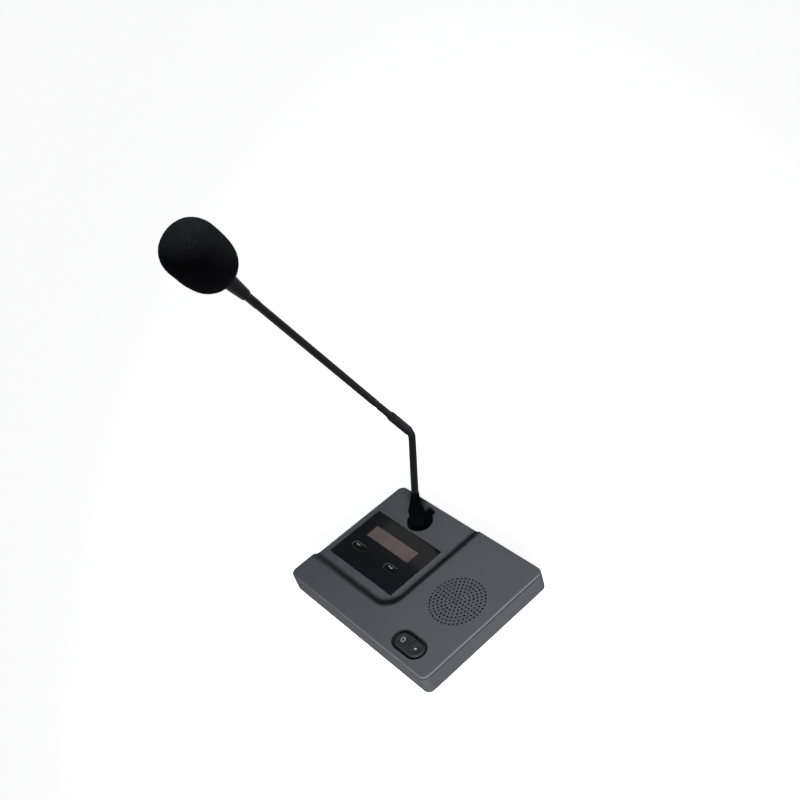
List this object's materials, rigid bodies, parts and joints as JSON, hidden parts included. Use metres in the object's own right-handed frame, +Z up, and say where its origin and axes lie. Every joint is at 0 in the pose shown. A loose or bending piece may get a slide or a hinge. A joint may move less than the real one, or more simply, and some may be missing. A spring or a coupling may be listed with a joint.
{
  "type": "conference desk microphone",
  "caption": "Low rectangular desk unit with a display, keys, speaker holes and talk buttons, and a plug-in gooseneck microphone with an egg-shaped foam windscreen.",
  "frame": {"origin": "on the desk, under the middle of the case", "axes": "+X to the user's right, +Y to the rear, +Z up"},
  "size_m": [0.18, 0.135, 0.3705],
  "materials": {
    "case_plastic": "fine matte grain",
    "black_plastic": "satin black",
    "key_plastic": "satin black with white icons",
    "panel_gloss": "glossy black",
    "lcd_window": "clear window over a grey-brown screen",
    "white_plastic": "moulded white",
    "circuit_board": "green solder mask",
    "steel": "bright zinc-plated",
    "gold_brass": "gold-plated",
    "copper_wire": "enamelled copper",
    "soft_rubber": "matte black rubber",
    "cone_paper": "black paper and cloth",
    "neck_skin": "matte black, finely ribbed",
    "stem_black": "matte black powder coat",
    "foam": "open-cell black foam"
  },
  "bodies": {
    "base": {"top_cover": "case_plastic", "bottom_cover": "case_plastic", "ballast_plate": "steel", "rubber_feet": "soft_rubber", "case_screws": "steel", "main_board": "circuit_board", "board_parts": "black_plastic", "board_screws": "steel", "display_panel": "panel_gloss", "lcd_lens": "lcd_window", "lcd_screen": "lcd_window", "lcd_frame": "white_plastic", "display_board": "circuit_board", "display_screws": "steel", "key_switches": "black_plastic", "button_board": "circuit_board", "button_switches": "black_plastic", "dust_cloth": "cone_paper", "speaker_gasket": "soft_rubber", "speaker_frame": "steel", "speaker_surround": "soft_rubber", "speaker_magnet": "steel", "speaker_screws": "steel", "mic_socket": "black_plastic", "socket_nut": "steel", "socket_contacts": "gold_brass", "line_sockets": "black_plastic", "line_pins": "gold_brass", "line_nuts": "steel", "mic_plug": "black_plastic", "plug_pins": "gold_brass", "neck_boot": "soft_rubber", "neck_root": "neck_skin"},
    "left_key": {"left_key": "key_plastic", "left_plunger": "white_plastic"},
    "right_key": {"right_key": "key_plastic", "right_plunger": "white_plastic"},
    "talk_button": {"talk_button": "key_plastic", "talk_plunger": "white_plastic"},
    "priority_button": {"priority_button": "key_plastic", "priority_plunger": "white_plastic"},
    "release_tab": {"release_tab": "black_plastic"},
    "speaker_cone": {"speaker_cone": "cone_paper", "voice_coil": "copper_wire"},
    "neck_1": {"neck_link_1": "neck_skin"},
    "neck_2": {"neck_link_2": "neck_skin"},
    "neck_3": {"neck_link_3": "neck_skin"},
    "neck_4": {"neck_link_4": "neck_skin"},
    "neck_5": {"neck_link_5": "neck_skin"},
    "stem": {"neck_top": "neck_skin", "neck_sleeve": "stem_black", "stem_tube": "stem_black", "head_collar": "black_plastic", "capsule_housing": "steel", "mic_capsule": "steel", "capsule_grille": "steel", "foam_windscreen": "foam"}
  },
  "joints": [
    {"name": "left_key_press", "type": "slide", "parent": "base", "child": "left_key", "axis": [0, 0, -1], "range_m": [0, 0.0005], "stiffness_N_per_m": 800, "springref_m": -0.0005},
    {"name": "right_key_press", "type": "slide", "parent": "base", "child": "right_key", "axis": [0, 0, -1], "range_m": [0, 0.0005], "stiffness_N_per_m": 800, "springref_m": -0.0005},
    {"name": "talk_press", "type": "slide", "parent": "base", "child": "talk_button", "axis": [0, 0, -1], "range_m": [0, 0.0008], "stiffness_N_per_m": 800, "springref_m": -0.0005},
    {"name": "priority_press", "type": "slide", "parent": "base", "child": "priority_button", "axis": [0, 0, -1], "range_m": [0, 0.0008], "stiffness_N_per_m": 800, "springref_m": -0.0005},
    {"name": "release_press", "type": "slide", "parent": "base", "child": "release_tab", "axis": [0, 0, -1], "range_m": [0, 0.0008], "stiffness_N_per_m": 800, "springref_m": -0.0005},
    {"name": "cone_move", "type": "slide", "parent": "base", "child": "speaker_cone", "axis": [0, 0, 1], "range_m": [-0.0004, 0.0004], "stiffness_N_per_m": 2000},
    {"name": "neck_fore_1", "type": "hinge", "parent": "base", "child": "neck_1", "pos_m": [-0.0407, 0.05096, 0.05355], "axis": [1, 0, 0], "range_deg": [-20, 20]},
    {"name": "neck_side_1", "type": "hinge", "parent": "neck_1", "child": "neck_2", "pos_m": [-0.0407, 0.05339, 0.06201], "axis": [0, 0.9613, -0.2756], "range_deg": [-20, 20]},
    {"name": "neck_fore_2", "type": "hinge", "parent": "neck_2", "child": "neck_3", "pos_m": [-0.0407, 0.05582, 0.07047], "axis": [1, 0, 0], "range_deg": [-20, 20]},
    {"name": "neck_side_2", "type": "hinge", "parent": "neck_3", "child": "neck_4", "pos_m": [-0.0407, 0.05824, 0.07893], "axis": [0, 0.9613, -0.2756], "range_deg": [-20, 20]},
    {"name": "neck_fore_3", "type": "hinge", "parent": "neck_4", "child": "neck_5", "pos_m": [-0.0407, 0.06067, 0.08738], "axis": [1, 0, 0], "range_deg": [-20, 20]},
    {"name": "neck_side_3", "type": "hinge", "parent": "neck_5", "child": "stem", "pos_m": [-0.0407, 0.06309, 0.09584], "axis": [0, 0.9613, -0.2756], "range_deg": [-20, 20]}
  ]
}
